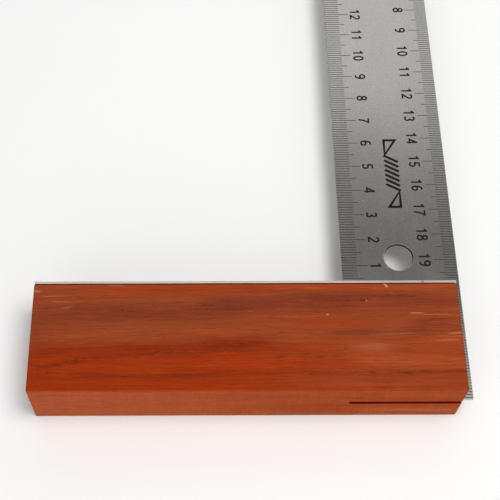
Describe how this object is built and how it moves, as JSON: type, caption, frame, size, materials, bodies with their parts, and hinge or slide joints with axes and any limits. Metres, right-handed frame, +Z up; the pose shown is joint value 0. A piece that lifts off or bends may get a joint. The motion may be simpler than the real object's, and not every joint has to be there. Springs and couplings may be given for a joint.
{
  "type": "try square",
  "caption": "Try square: a graduated steel blade with a hang hole, let into a thick hardwood stock at a right angle, with a thin metal wear strip on the stock's inner face.",
  "frame": {"origin": "bottom centre of the whole square's box, on the surface that the stock lies on", "axes": "+X along the stock towards its heel end, +Y along the blade away from the stock's outer face, +Z up through the stock's thickness"},
  "size_m": [0.1436, 0.2414, 0.024],
  "materials": {
    "wood": "orange-red hardwood with long dark streaks, thin satin lacquer",
    "blade_steel": "satin, ground along its length",
    "strip_metal": "satin",
    "fastener_steel": "bright, lightly turned",
    "scale_ink": "matt black filling of the etched marks and numerals"
  },
  "bodies": {
    "root": {"stock": "wood", "blade": "blade_steel", "face_plate": "strip_metal", "face_plate_screw_1": "fastener_steel", "face_plate_screw_2": "fastener_steel", "face_plate_screw_3": "fastener_steel", "face_plate_screw_4": "fastener_steel", "blade_pin_1": "fastener_steel", "blade_pin_2": "fastener_steel", "blade_pin_3": "fastener_steel"}
  },
  "joints": []
}
